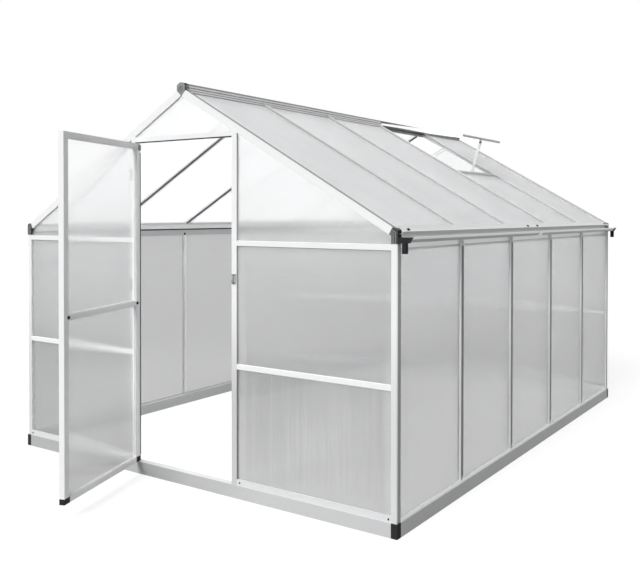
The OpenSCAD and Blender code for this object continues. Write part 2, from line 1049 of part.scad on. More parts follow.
// Leaf of the door: stiles and rails, stepped to glazing beads and slotted round the panes.
module door_frame() {
    color(white())
        leaf_place()
            difference() {
                union() {
                    for (x = [0, leaf_w - stile_w])
                        translate([x, 0, leaf_z + cap_end])
                            cube([stile_w, leaf_t, leaf_top - leaf_z - cap_end]);
                    for (z = [leaf_z, leaf_mid - rail_h / 2, leaf_top - rail_h])
                        translate([stile_w - over, rail_step, z])
                            cube([leaf_w - 2 * (stile_w - over), leaf_t - 2 * rail_step, rail_h]);
                }
                pane_boxes(slot_d, slot_in, slot_in + pane_t + pane_play);
                pane_boxes(bead_w, -over, bead_step);
                pane_boxes(bead_w, leaf_t - bead_step, leaf_t + over);
                for (x = [-over, leaf_w - stile_w])
                    translate([x, -over, leaf_z - over])
                        cube([stile_w + over, leaf_t + 2 * over, cap_end + over]);
            }
}

module door_panes() {
    color(clear())
        leaf_place()
            pane_boxes(slot_d - pane_edge, slot_in, slot_in + pane_t);
}

// Moulded shoes under the stiles, slotted for the lower pane.
module door_caps() {
    color(black())
        leaf_place()
            difference() {
                for (x = [0, leaf_w - stile_w])
                    translate([x, 0, leaf_z])
                        cube([stile_w, leaf_t, cap_end]);
                pane_boxes(slot_d, slot_in, slot_in + pane_t + pane_play);
            }
}

// Moving halves of the hinges: plate on the stile and the middle knuckle.
module door_hinges() {
    k = hinge_len / 3;
    h = k - 2 * knuckle_gap;
    color(grey())
        leaf_place()
            for (z = hinge_zs)
                difference() {
                    translate([0, 0, z + k + knuckle_gap]) {
                        translate([0, -hinge_t, 0])
                            cube([stile_w - 2 * hinge_edge, hinge_t, h]);
                        translate([-door_gap / 2, -hinge_out, 0])
                            cylinder(d = knuckle_d, h = h);
                        translate([-door_gap / 2, -hinge_out, 0])
                            cube([door_gap / 2 + hinge_edge, hinge_out - over, h]);
                    }
                    translate([-door_gap / 2, -hinge_out, z])
                        cylinder(d = pin_d + 2 * pin_play, h = hinge_len);
                }
}

// Latch on the outside of the free stile: rounded backplate and turning knob.
module door_handle() {
    run = latch_l - latch_w;
    plate_t = 4;
    knob_d = 11;
    knob_h = 12;
    lever = [latch_w, 8, 5];
    color(grey())
        leaf_place()
            translate([leaf_w - stile_w / 2, 0, leaf_mid + latch_up])
                rotate([90, 0, 0]) {
                    linear_extrude(height = plate_t) {
                        square([latch_w, run], center = true);
                        for (y = [-run / 2, run / 2])
                            translate([0, y])
                                circle(d = latch_w);
                    }
                    translate([0, -run / 4, 0])
                        cylinder(d = knob_d, h = knob_h);
                    translate([0, -run / 4, knob_h - lever[2] / 2])
                        cube(lever, center = true);
                }
}

base_front();
base_rear();
base_left();
base_right();
corner_feet();
corner_posts();
front_sills();
rear_sill();
left_sill();
right_sill();
left_wall_bars();
right_wall_bars();
left_gutter();
right_gutter();
corner_caps();
gutter_spouts();
front_rafters();
rear_rafters();
left_roof_bars();
right_roof_bars();
ridge_beam();
ridge_end_caps();
door_posts();
door_header();
front_rails();
rear_studs();
rear_rails();
front_panels();
rear_panels();
left_wall_panels();
right_wall_panels();
left_roof_panels();
right_roof_panels();
vent_sill();
vent_sash();
vent_pane();
vent_stay();
hinge_brackets();
door_catch();
door_frame();
door_panes();
door_caps();
door_hinges();
door_handle();
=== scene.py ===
import bmesh
import bpy
import math
from mathutils import Matrix, Vector


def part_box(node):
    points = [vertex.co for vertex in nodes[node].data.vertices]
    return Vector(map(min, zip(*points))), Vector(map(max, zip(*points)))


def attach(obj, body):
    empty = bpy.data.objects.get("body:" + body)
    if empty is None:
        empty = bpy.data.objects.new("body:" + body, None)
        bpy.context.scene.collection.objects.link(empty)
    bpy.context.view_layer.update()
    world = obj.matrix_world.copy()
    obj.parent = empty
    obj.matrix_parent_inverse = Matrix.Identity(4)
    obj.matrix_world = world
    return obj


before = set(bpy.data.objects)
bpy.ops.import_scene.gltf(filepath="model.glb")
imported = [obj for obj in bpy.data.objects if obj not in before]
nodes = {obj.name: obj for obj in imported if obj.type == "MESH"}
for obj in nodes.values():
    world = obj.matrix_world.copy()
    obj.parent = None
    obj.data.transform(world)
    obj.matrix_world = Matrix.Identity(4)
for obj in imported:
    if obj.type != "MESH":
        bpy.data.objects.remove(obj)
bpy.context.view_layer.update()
scene = bpy.context.scene

# Studio. A pale floor without edges under a wide soft sun that stands in front of the house, with a
# weak even sky for the shaded sides. The camera stands to the right of the door at eye level.
CAMERA_PLACE = (2.91467, -2.77979, 1.34512)
CAMERA_TURN = (math.radians(90.0 - 0.70), math.radians(-0.11), math.radians(32.19))
FRAME_W, FRAME_H = 640.0, 576.0
FOCUS_PX = 786.94
CENTRE_PX = (380.0, 224.1)
SENSOR = 36.0
FAR_CLIP = 300.0
camera_data = bpy.data.cameras.new("camera")
camera_data.sensor_fit = "HORIZONTAL"
camera_data.sensor_width = SENSOR
camera_data.lens = FOCUS_PX * SENSOR / FRAME_W
camera_data.shift_x = (FRAME_W / 2 - CENTRE_PX[0]) / FRAME_W
camera_data.shift_y = (CENTRE_PX[1] - FRAME_H / 2) / FRAME_W
camera_data.clip_end = FAR_CLIP
camera = bpy.data.objects.new("camera", camera_data)
camera.location = CAMERA_PLACE
camera.rotation_euler = CAMERA_TURN
scene.collection.objects.link(camera)
scene.camera = camera
scene.view_settings.view_transform = "Standard"


class Shade:
    """A socket of one node tree. Arithmetic on it adds Math nodes."""

    def __init__(self, tree, socket=None):
        self.tree = tree
        self.socket = socket

    def node(self, kind, settings, sockets, out=0):
        made = self.tree.nodes.new("ShaderNode" + kind)
        for key, value in settings.items():
            setattr(made, key, value)
        for key, value in sockets.items():
            if isinstance(value, Shade):
                self.tree.links.new(value.socket, made.inputs[key])
            else:
                made.inputs[key].default_value = value
        return Shade(self.tree, made.outputs[out] if made.outputs else None)

    def maths(self, operation, first, second):
        return self.node("Math", {"operation": operation}, {0: first, 1: second})

    def __add__(self, other):
        return self.maths("ADD", self, other)

    def __radd__(self, other):
        return self.maths("ADD", other, self)

    def __sub__(self, other):
        return self.maths("SUBTRACT", self, other)

    def __rsub__(self, other):
        return self.maths("SUBTRACT", other, self)

    def __mul__(self, other):
        return self.maths("MULTIPLY", self, other)

    def __rmul__(self, other):
        return self.maths("MULTIPLY", other, self)


def fresh_tree(owner):
    owner.use_nodes = True
    owner.node_tree.nodes.clear()
    return Shade(owner.node_tree)


def background_rays(shader, through=1.0):
    """One for the rays that see the backdrop itself, from the camera or by a mirror, and a given share
    for those that come through the glazing."""
    seen = shader.node("LightPath", {}, {}, "Is Camera Ray")
    mirrored = shader.node("LightPath", {}, {}, "Is Glossy Ray")
    passed = shader.node("LightPath", {}, {}, "Is Transmission Ray")
    direct = (seen + mirrored) * (1.0 - passed)
    return shader.maths("MINIMUM", shader.maths("MAXIMUM", direct, passed * through), 1.0)


FLOOR_SIZE = 240.0
FLOOR_DROP = 0.0005
FLOOR_GREY = 0.25
FLOOR_GLOW = 0.77
FLOOR_THROUGH = 0.36
floor_colour = bpy.data.materials.new("studio_floor")
ground = fresh_tree(floor_colour)
lit = ground.node("BsdfDiffuse", {}, {"Color": (FLOOR_GREY, FLOOR_GREY, FLOOR_GREY, 1.0)})
shine = background_rays(ground, FLOOR_THROUGH) * FLOOR_GLOW
glow = ground.node("Emission", {}, {"Color": (1, 1, 1, 1), "Strength": shine})
ground.node("OutputMaterial", {}, {"Surface": ground.node("AddShader", {}, {0: lit, 1: glow})})
bpy.ops.object.select_all(action="DESELECT")
bpy.ops.mesh.primitive_plane_add(size=FLOOR_SIZE, location=(0, 0, -FLOOR_DROP))
floor = bpy.context.object
floor.name = "studio_floor"
floor.data.materials.append(floor_colour)

SKY_LIGHT = 0.3
world = bpy.data.worlds.new("studio")
scene.world = world
sky = fresh_tree(world)
level = SKY_LIGHT + background_rays(sky) * (1.0 - SKY_LIGHT)
backdrop = sky.node("Background", {}, {"Color": (1, 1, 1, 1), "Strength": level})
sky.node("OutputWorld", {}, {"Surface": backdrop})

SUN_LEVEL = 3.2
SUN_SPREAD = math.radians(24.0)
SUN_FROM = Vector((0.05, -0.75, 0.66))
sun = bpy.data.lights.new("front_sun", "SUN")
sun.energy = SUN_LEVEL
sun.angle = SUN_SPREAD
sun_holder = bpy.data.objects.new("front_sun", sun)
sun_holder.rotation_euler = SUN_FROM.to_track_quat("Z", "Y").to_euler()
scene.collection.objects.link(sun_holder)

# Base boards. Box sections of bare aluminium, sawn to length and plugged into the corner feet. The
# extrusion leaves fine lines along each length, and handling leaves cloudy marks.
BARE_GREY = (0.56, 0.565, 0.57)
# The end boards take a lighter grey than the side boards of the same section: painted light, set to the
# sunlit front board.
END_GREY = (0.59, 0.595, 0.6)
DOOR_SHADOW_RUN = (0.6, -0.1)
LINES_ACROSS = 60.0
LINES_ALONG = 1.2
GRAIN_SHADE = 0.86
MIX_FIRST, MIX_SECOND, MIX_RESULT = 6, 7, 2


def part_of(m, vector, axis):
    return m.node("SeparateXYZ", {}, {"Vector": vector}, axis)


def ease(m, value, low, high):
    """Runs softly from nought where the value is low to one where it is high."""
    return m.node("MapRange", {"interpolation_type": "SMOOTHSTEP"},
                  {"Value": value, "From Min": low, "From Max": high})


def mixed_tone(m, share, first, second, way="MIX"):
    return m.node("Mix", {"data_type": "RGBA", "blend_type": way},
                  {"Factor": share, MIX_FIRST: first, MIX_SECOND: second}, MIX_RESULT)


def aluminium(name, colour, along, darkening={}, metal=0.12, gloss=0.25):
    """Aluminium drawn along one axis. Each mask in darkening names faces whose colour is multiplied down by
    its factor; each mask says which of these are painted shade.
    """
    material = bpy.data.materials.new(name)
    m = fresh_tree(material)
    place = m.node("TexCoord", {}, {}, "Object")
    facing = m.node("NewGeometry", {}, {}, "Normal")
    stretch = [LINES_ACROSS] * 3
    stretch["XYZ".index(along)] = LINES_ALONG
    lines = m.node("Mapping", {}, {"Vector": place, "Scale": stretch})
    grain = m.node("TexNoise", {}, {"Vector": lines, "Scale": 6.0, "Detail": 3.0, "Roughness": 0.6})
    cloud = m.node("TexNoise", {}, {"Vector": place, "Scale": 5.0, "Detail": 4.0, "Roughness": 0.55})
    shade = [c * GRAIN_SHADE for c in colour]
    tone = mixed_tone(m, 0.4 * grain + 0.4 * cloud, (*colour, 1.0), (*shade, 1.0))
    for mask, factor in darkening.items():
        tone = mixed_tone(m, mask(m, place, facing), tone, (factor, factor, factor, 1.0), "MULTIPLY")
    bump = m.node("Bump", {}, {"Strength": 0.1, "Distance": 0.0004, "Height": grain})
    skin = m.node("BsdfPrincipled", {}, {"Base Color": tone, "Roughness": 0.4 + 0.14 * cloud - 0.06 * grain,
                                         "Metallic": metal, "Specular IOR Level": gloss, "Normal": bump})
    m.node("OutputMaterial", {}, {"Surface": skin})
    return material


def finish_with(material, *names):
    for name in names:
        skin = nodes[name].data.materials
        skin.clear()
        skin.append(material)


def door_shadow(m, place, facing):
    """The stretch of an end board at the door, where the open leaf's shadow is painted on."""
    return ease(m, part_of(m, place, "X"), *DOOR_SHADOW_RUN)


# The end boards are painted darker near the door: a painted shadow of the open leaf.
base_across = aluminium("base_across", END_GREY, "X", {door_shadow: 0.78})
finish_with(base_across, "base_front", "base_rear")
finish_with(aluminium("base_along", BARE_GREY, "Y"), "base_left", "base_right")

# Corner feet. Black glass-filled mouldings with a fine spark-eroded grain, pressed into the ends of
# the base boards.
FOOT_BLACK = (0.022, 0.022, 0.024)
WORN = 1.6
SIDE_SHADE = 0.12


def outward(m, place, facing):
    """How far a face looks away from the ridge line, to its own long side."""
    return part_of(m, facing, "X") * m.maths("SIGN", part_of(m, place, "X"), 0.0)


# Faces that look out to the long sides, away from the sun. The finishes that take this mask are painted
# darker there: painted shade.
def looks_out(m, place, facing):
    return ease(m, outward(m, place, facing), 0.95, 0.99)


def black_moulding(name, colour, highlights=()):
    """Black plastic, its outward sides painted near black as painted shade. What lies in a mask of
    highlights is painted to the lighter tone given with it: a painted highlight.
    """
    material = bpy.data.materials.new(name)
    m = fresh_tree(material)
    place = m.node("TexCoord", {}, {}, "Object")
    facing = m.node("NewGeometry", {}, {}, "Normal")
    grain = m.node("TexNoise", {}, {"Vector": place, "Scale": 900.0, "Detail": 2.0})
    cloud = m.node("TexNoise", {}, {"Vector": place, "Scale": 25.0, "Detail": 3.0})
    worn = [c * WORN for c in colour]
    side_shade = [c * SIDE_SHADE for c in colour]
    tone = mixed_tone(m, cloud, (*colour, 1.0), (*worn, 1.0))
    # Faces that look out to the long sides are painted near black: painted shade.
    tone = mixed_tone(m, looks_out(m, place, facing), tone, (*side_shade, 1.0))
    for mask, lit_tone in highlights:
        tone = mixed_tone(m, mask(m, place, facing), tone, (*lit_tone, 1.0))
    bump = m.node("Bump", {}, {"Strength": 0.2, "Distance": 0.0003, "Height": grain})
    skin = m.node("BsdfPrincipled", {}, {"Base Color": tone, "Roughness": 0.34 + 0.1 * cloud,
                                         "Specular IOR Level": 0.05, "Normal": bump})
    m.node("OutputMaterial", {}, {"Surface": skin})
    return material


black = black_moulding("black_moulding", FOOT_BLACK)
finish_with(black, "corner_feet")

# Posts, sills and wall bars. White-anodised sections that clip round the panels, the upright bars between
# sill and eave.
# Their outer faces along the house and the inner faces of the side sills are painted darker as painted
# shade, and the uprights are darker towards the bottom.
WHITE = (0.9, 0.905, 0.91)
SILL_TONE = (0.74, 0.745, 0.75)
LOWER_DARK_Z = (1.0, 0.4)


# Faces that look into the house. The finishes that take this mask are painted darker there: painted shade.
def looks_in(m, place, facing):
    return ease(m, outward(m, place, facing), -0.95, -0.99)


def low_part(m, place, facing):
    """The lower half of an upright, but for the faces that look into the house."""
    return ease(m, part_of(m, place, "Z"), *LOWER_DARK_Z) * (1.0 - looks_in(m, place, facing))


post_upright = aluminium("post_upright", WHITE, "Z", {looks_out: 0.55, low_part: 0.8})
finish_with(post_upright, "corner_posts")
finish_with(aluminium("sill_across", SILL_TONE, "X"), "front_sills", "rear_sill")
sill_along = aluminium("sill_along", WHITE, "Y", {looks_in: 0.6}, metal=0.5)
finish_with(sill_along, "left_sill", "right_sill")
bar_upright = aluminium("bar_upright", WHITE, "Z", {looks_out: 0.7, low_part: 0.75}, metal=0.3)
finish_with(bar_upright, "left_wall_bars", "right_wall_bars")

# Wall-bar and sill screws. Pan heads on washers: a bright one through the rounded head of each side bar
# into the eave, and a black one at each end of a front sill.
BAY = 0.604
BAYS = 5
SIDES = (-1, 1)
BAR_SCREW_R = 0.005
BAR_SCREW_Z = 1.2145
SILL_SCREW_R = 0.0045
SILL_SCREW_X = (0.385, 1.209)
SILL_SCREW_Z = 0.076
SMALL_HEAD, LARGE_HEAD = 12, 16
STEEL_GREY = (0.7, 0.705, 0.71)
STEEL_BLACK = (0.018, 0.018, 0.02)
FULL_FACE = 0.9


def select_facing(along):
    """Selects the faces of the mesh in edit mode that look along a direction."""
    mesh = bmesh.from_edit_mesh(bpy.context.object.data)
    for face in mesh.faces:
        face.select_set(face.normal.dot(Vector(along)) > FULL_FACE)
    bmesh.update_edit_mesh(bpy.context.object.data)


def headed_fastener(radius, sides):
    """A washer with a domed head on it, standing on the origin along Z."""
    washer = radius * 0.2
    step = radius * 0.25
    head = radius * 0.4
    dome = radius * 0.15
    bpy.ops.object.select_all(action="DESELECT")
    bpy.ops.mesh.primitive_cylinder_add(vertices=sides, radius=radius, depth=washer,
                                        location=(0, 0, washer / 2))
    bpy.ops.object.transform_apply(location=True, rotation=False, scale=False)
    bpy.ops.object.mode_set(mode="EDIT")
    select_facing((0, 0, 1))
    bpy.ops.mesh.inset(thickness=step)
    bpy.ops.mesh.extrude_region_move(TRANSFORM_OT_translate={"value": (0, 0, head)})
    bpy.ops.mesh.inset(thickness=step)
    bpy.ops.transform.translate(value=(0, 0, dome))
    bpy.ops.object.mode_set(mode="OBJECT")
    return bpy.context.object


def join_all(pieces, name):
    bpy.ops.object.select_all(action="DESELECT")
    for piece in pieces:
        piece.select_set(True)
    bpy.context.view_layer.objects.active = pieces[0]
    bpy.ops.object.join()
    bpy.context.object.name = name
    return bpy.context.object


def dress(piece, finish, body):
    piece.data.materials.append(finish)
    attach(piece, body)


def fit_copies(model, name, places, body, finish):
    """Copies of a model that stands along Z, joined into one piece. A place is a point and a direction."""
    copies = []
    for place, facing in places:
        turn = Vector(facing).to_track_quat("Z", "Y").to_matrix().to_4x4()
        copy = bpy.data.objects.new(name, model.data.copy())
        copy.data.transform(Matrix.Translation(place) @ turn)
        scene.collection.objects.link(copy)
        copies.append(copy)
    bpy.data.objects.remove(model)
    piece = join_all(copies, name)
    piece.data.materials.clear()
    dress(piece, finish, body)


bar_lines = [BAY * i for i in range(1, BAYS)]
bar_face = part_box("right_wall_bars")[1].x
bright_steel = aluminium("bright_steel", STEEL_GREY, "Z")
black_steel = black_moulding("black_steel", STEEL_BLACK)
bar_screw = headed_fastener(BAR_SCREW_R, SMALL_HEAD)
bar_heads = [((s * bar_face, y, BAR_SCREW_Z), (s, 0, 0)) for s in SIDES for y in bar_lines]
fit_copies(bar_screw, "bar_screws", bar_heads, "house", bright_steel)
sill_screw = headed_fastener(SILL_SCREW_R, SMALL_HEAD)
sill_heads = [((s * x, 0.0, SILL_SCREW_Z), (0, -1, 0)) for s in SIDES for x in SILL_SCREW_X]
fit_copies(sill_screw, "sill_screws", sill_heads, "house", black_steel)

# Bar covers. Strips pressed over the face of each side bar, set towards its rear edge, from the sill to the
# rounded head.
# Their dark grey is painted shade on the bars' outer faces.
COVER_Y = (-0.0065, 0.0125)
COVER_Z = (0.095, 1.196)
COVER_GAUGE = 0.0015
COVER_ROUND = 0.0005
COVER_SHADE = (0.3, 0.305, 0.31)
SUNK = 0.0005


def rounded_strip(name, low, high, rounding):
    """A bar between two corners with its edges rounded over."""
    low, high = Vector(low), Vector(high)
    bpy.ops.object.select_all(action="DESELECT")
    bpy.ops.mesh.primitive_cube_add(size=1.0, location=(low + high) / 2)
    strip = bpy.context.object
    strip.name = name
    strip.scale = high - low
    bpy.ops.object.transform_apply(location=True, rotation=False, scale=True)
    bpy.ops.object.mode_set(mode="EDIT")
    bpy.ops.mesh.select_all(action="SELECT")
    bpy.ops.mesh.bevel(offset=rounding, segments=2, affect="EDGES")
    bpy.ops.object.mode_set(mode="OBJECT")
    return strip


covers = []
for s in SIDES:
    near, far = sorted((s * (bar_face - SUNK), s * (bar_face + COVER_GAUGE)))
    for y in bar_lines:
        covers.append(rounded_strip("bar_cover", (near, y + COVER_Y[0], COVER_Z[0]),
                                    (far, y + COVER_Y[1], COVER_Z[1]), COVER_ROUND))
# The covers' dark grey is painted shade.
cover_shade = aluminium("cover_shade", COVER_SHADE, "Z", gloss=0.1)
dress(join_all(covers, "bar_covers"), cover_shade, "house")

# Eaves. One long extrusion on each side with apron, gutter and panel channel, carried by the posts.
# Black knees close its corners and black outlets its right-hand ends.
BEYOND_WALL = (1.262, 1.272)
TROUGH_FOOT = (1.244, 1.240)
SEAL_Z = (1.234, 1.242)
RIB_FACE = 0.0021
KNEE_BLACK = (0.06, 0.06, 0.063)
RIB_HIGHLIGHT = (0.3, 0.3, 0.305)
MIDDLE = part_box("right_gutter")[0].y / 2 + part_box("right_gutter")[1].y / 2


def size_of(m, value):
    return m.maths("ABSOLUTE", value, 0.0)


# Faces that look up. The finishes that take this mask are painted darker there: painted shade.
def looks_up(m, place, facing):
    return ease(m, part_of(m, facing, "Z"), 0.3, 0.7)


def trough_foot(m, place, facing):
    """The lower part of the trough's outer wall, painted darker as painted shade under the trough."""
    beyond = ease(m, size_of(m, part_of(m, place, "X")), *BEYOND_WALL)
    return beyond * ease(m, part_of(m, place, "Z"), *TROUGH_FOOT)


def under_seal(m, place, facing):
    """The inner face of the eave below its seal, painted darker as painted shade inside the house."""
    return looks_in(m, place, facing) * m.maths("LESS_THAN", part_of(m, place, "Z"), SEAL_Z[1])


def from_middle(m, place):
    return size_of(m, part_of(m, place, "Y") - MIDDLE)


def knee_rib(m, place, facing):
    """The raised ribs on the outer face of a knee."""
    return m.maths("GREATER_THAN", from_middle(m, place), MIDDLE + RIB_FACE)


eave_shade = {looks_up: 0.76, trough_foot: 0.4, under_seal: 0.6}
finish_with(aluminium("eave_white", WHITE, "Y", eave_shade, metal=0.5), "left_gutter", "right_gutter")
# The raised ribs of each knee are painted lighter: a painted highlight.
knee_black = black_moulding("knee_black", KNEE_BLACK, [(knee_rib, RIB_HIGHLIGHT)])
finish_with(knee_black, "corner_caps")
finish_with(black, "gutter_spouts")

# Eave bolts. Black heads inside at every side bar, on the flange beside each knee, and in pairs at the
# splice halfway along.
PITCH = math.radians(29.04)
BACK_PLATE = 1.2334
INNER_BOLT_Z = 1.206
FLANGE_POINT = (1.2494, 1.2803)
EAVE_BOLT_R = 0.0085
KNEE_BOLT_Y = 0.091
SPLICE_HALF = 0.073
slope_up = {s: (s * math.sin(PITCH), 0, math.cos(PITCH)) for s in SIDES}
flange_lines = (KNEE_BOLT_Y, MIDDLE - SPLICE_HALF, MIDDLE + SPLICE_HALF, 2 * MIDDLE - KNEE_BOLT_Y)
eave_heads = [((s * BACK_PLATE, y, INNER_BOLT_Z), (-s, 0, 0)) for s in SIDES for y in bar_lines]
for s in SIDES:
    for y in flange_lines:
        eave_heads.append(((s * FLANGE_POINT[0], y, FLANGE_POINT[1]), slope_up[s]))
eave_bolt = headed_fastener(EAVE_BOLT_R, SMALL_HEAD)
fit_copies(eave_bolt, "eave_bolts", eave_heads, "house", black_steel)

# Drip edges. White strips folded over the lower end of each roof flange, which lead the rain into the
# trough. A bright clip covers the joint halfway along each trough.
FLANGE_NOSE = (1.2614, 1.2737)
DRIP_LEAF = 0.005
DRIP_GAUGE = 0.0012
DRIP_FALL = 0.013
DRIP_BEND = math.radians(31.0)
KNEE_DEPTH = 0.034
TROUGH_POINT = (1.2998, 1.2398)
TROUGH_TURN = math.radians(35.66)
CLIP_HALF = (0.025, 0.0125)
CLIP_GAUGE = 0.0016
CLIP_ROUND = 0.0006
HANDS = ((-1, "left"), (1, "right"))


def eave_seat(side, place, turn):
    """Sets what is drawn along Y about the origin on an eave, at a point of its section, turned about Y."""
    seat = Matrix.Translation((place[0], 0, place[1])) @ Matrix.Rotation(turn, 4, "Y")
    if side < 0:
        seat = Matrix.Translation((0, 2 * MIDDLE, 0)) @ Matrix.Rotation(math.pi, 4, "Z") @ seat
    return seat


drip_white = aluminium("drip_white", WHITE, "Y", metal=0.5)
clip_bright = aluminium("clip_bright", WHITE, "Z", metal=0.5)
drip_fall = (DRIP_FALL * math.cos(DRIP_BEND), 0, -DRIP_FALL * math.sin(DRIP_BEND))
for s, hand in HANDS:
    bpy.ops.object.select_all(action="DESELECT")
    bpy.ops.mesh.primitive_cube_add(size=1.0, location=(-DRIP_LEAF / 2, MIDDLE, DRIP_GAUGE / 2))
    drip = bpy.context.object
    drip.name = hand + "_drip_edge"
    drip.scale = (DRIP_LEAF, 2 * (MIDDLE - KNEE_DEPTH), DRIP_GAUGE)
    bpy.ops.object.transform_apply(location=True, rotation=False, scale=True)
    bpy.ops.object.mode_set(mode="EDIT")
    select_facing((1, 0, 0))
    bpy.ops.mesh.extrude_region_move(TRANSFORM_OT_translate={"value": drip_fall})
    bpy.ops.object.mode_set(mode="OBJECT")
    drip.data.transform(eave_seat(s, FLANGE_NOSE, PITCH))
    dress(drip, drip_white, "house")
    clip = rounded_strip(hand + "_trough_clip", (-SUNK, MIDDLE - CLIP_HALF[0], -CLIP_HALF[1]),
                         (CLIP_GAUGE, MIDDLE + CLIP_HALF[0], CLIP_HALF[1]), CLIP_ROUND)
    clip.data.transform(eave_seat(s, TROUGH_POINT, TROUGH_TURN))
    dress(clip, clip_bright, "house")

# Eave seals. Black rubber strips pressed along the inner face of each eave, above the wall panels. They
# run from knee to knee.
SEAL_OUT = 0.003
SEAL_ROUND = 0.001
for s, hand in HANDS:
    inner, outer = sorted((s * (BACK_PLATE - SEAL_OUT), s * (BACK_PLATE + SUNK)))
    seal = rounded_strip(hand + "_eave_seal", (inner, KNEE_DEPTH, SEAL_Z[0]),
                         (outer, 2 * MIDDLE - KNEE_DEPTH, SEAL_Z[1]), SEAL_ROUND)
    dress(seal, black_steel, "house")

# Roof frame. White gable rafters that meet under the ridge, roof bars whose caps stand proud of the
# sheets, and a heavier ribbed ridge with a dished cap on each end.
SLOPE_TONE = (0.78, 0.785, 0.79)
RIDGE_GREY = (0.4, 0.405, 0.41)
CAP_GREY = (0.3, 0.305, 0.31)
SHEET_CLEAR = 0.0003
LIP_DROP = 0.0072
DISH_FACE = 0.0018
sash_low, sash_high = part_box("vent_sash")
sheet_top = max(v.co.x * math.sin(PITCH) + v.co.z * math.cos(PITCH)
                for v in nodes["right_roof_panels"].data.vertices)


def roof_height(m, place):
    """The height of a point square to its slope."""
    across = size_of(m, part_of(m, place, "X"))
    return across * math.sin(PITCH) + part_of(m, place, "Z") * math.cos(PITCH)


def above_sheets(m, place):
    return m.maths("GREATER_THAN", roof_height(m, place), sheet_top + SHEET_CLEAR)


def cap_edge(m, place, facing):
    """The sides of a roof bar's cap, where it stands above the sheets, painted darker as painted shade."""
    return above_sheets(m, place) * ease(m, size_of(m, part_of(m, facing, "Y")), 0.5, 0.8)


def bar_foot(m, place, facing):
    """The sides of a roof bar's web and foot, under the sheets, painted near black as painted shade."""
    low = m.maths("LESS_THAN", roof_height(m, place), sheet_top - LIP_DROP)
    return low * ease(m, size_of(m, part_of(m, facing, "Y")), 0.4, 0.7)


def rear_half(m, place, facing):
    return m.maths("GREATER_THAN", part_of(m, place, "Y"), MIDDLE)


def rear_lip(m, place, facing):
    """The inner side of the rear rafters, where it stands above the sheets, painted darker as painted
    shade.
    """
    inner = ease(m, part_of(m, facing, "Y"), -0.5, -0.8)
    return above_sheets(m, place) * rear_half(m, place, facing) * inner


def past_vent(m, place, facing):
    """The stretch of the ridge from the vent to the rear, in the shade of the raised sash."""
    return m.maths("GREATER_THAN", part_of(m, place, "Y"), sash_low.y)


def looks_around(m, place, facing):
    """The skirt of an end cap, painted darker as painted shade."""
    return ease(m, size_of(m, part_of(m, facing, "Y")), 0.7, 0.3)


def in_dish(m, place, facing):
    """The dished middle of an end cap, set back from its rim and painted darker as painted shade."""
    return m.maths("LESS_THAN", from_middle(m, place), MIDDLE + DISH_FACE)


# The rafters' upper faces and the rear rafters' inner lips are painted darker: painted shade.
white_rafter = aluminium("white_rafter", WHITE, "X", {looks_up: 0.33, rear_lip: 0.5})
finish_with(white_rafter, "front_rafters", "rear_rafters")
finish_with(aluminium("bar_slope", SLOPE_TONE, "X", {cap_edge: 0.42}), "right_roof_bars")
bar_slope_dark = aluminium("bar_slope_dark", SLOPE_TONE, "X", {cap_edge: 0.42, bar_foot: 0.04},
                           metal=0.8, gloss=0.05)
finish_with(bar_slope_dark, "left_roof_bars")
# The ridge's upper faces are painted darker: painted shade.
finish_with(aluminium("ridge_grey", RIDGE_GREY, "Y", {looks_up: 0.5, past_vent: 0.5}), "ridge_beam")
# The dish, the skirt and the whole rear cap are painted darker: painted shade.
cap_shade = {in_dish: 0.75, looks_around: 0.2, rear_half: 0.12}
finish_with(aluminium("cap_grey", CAP_GREY, "X", cap_shade, gloss=0.05), "ridge_end_caps")

# Ridge beads. Ribs of the ridge extrusion, in low rounded rows along both flanks, painted white against the
# grey ridge as painted highlight.
# On the right they stop at the vent, whose sash hangs there.
BEAD_Z = (1.9535, 1.9650, 1.9775)
BEAD_OUT = 0.0018
BEAD_H = 0.008
BEAD_ROUND = BEAD_OUT * 0.45
CAP_SKIRT = 0.029
VENT_GAP = 0.005
ridge_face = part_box("ridge_beam")[1].x
ridge_end = 2 * MIDDLE - CAP_SKIRT
bead_runs = {-1: [(CAP_SKIRT, ridge_end)],
             1: [(CAP_SKIRT, sash_low.y - VENT_GAP), (sash_high.y + VENT_GAP, ridge_end)]}
beads = []
for s in SIDES:
    inner, outer = sorted((s * (ridge_face - SUNK), s * (ridge_face + BEAD_OUT)))
    for z in BEAD_Z:
        for start, stop in bead_runs[s]:
            beads.append(rounded_strip("ridge_bead", (inner, start, z - BEAD_H / 2),
                                       (outer, stop, z + BEAD_H / 2), BEAD_ROUND))
# The beads' white is painted highlight on the grey ridge.
bead_highlight = aluminium("bead_highlight", WHITE, "Y", {past_vent: 0.4}, metal=0.35)
dress(join_all(beads, "ridge_beads"), bead_highlight, "house")

# Gable walls. White door posts, header and rails in front, studs and rails of the same section behind.
# A black seal lines the lower edge of the header.
HEADER_SEAL_OUT = 0.002
HEADER_SEAL_Z = (-0.001, 0.003)
HEADER_SEAL_ROUND = 0.0006


# Faces that look down. The finishes that take this mask are painted darker there: painted shade.
def looks_down(m, place, facing):
    return ease(m, part_of(m, facing, "Z"), -0.6, -0.9)


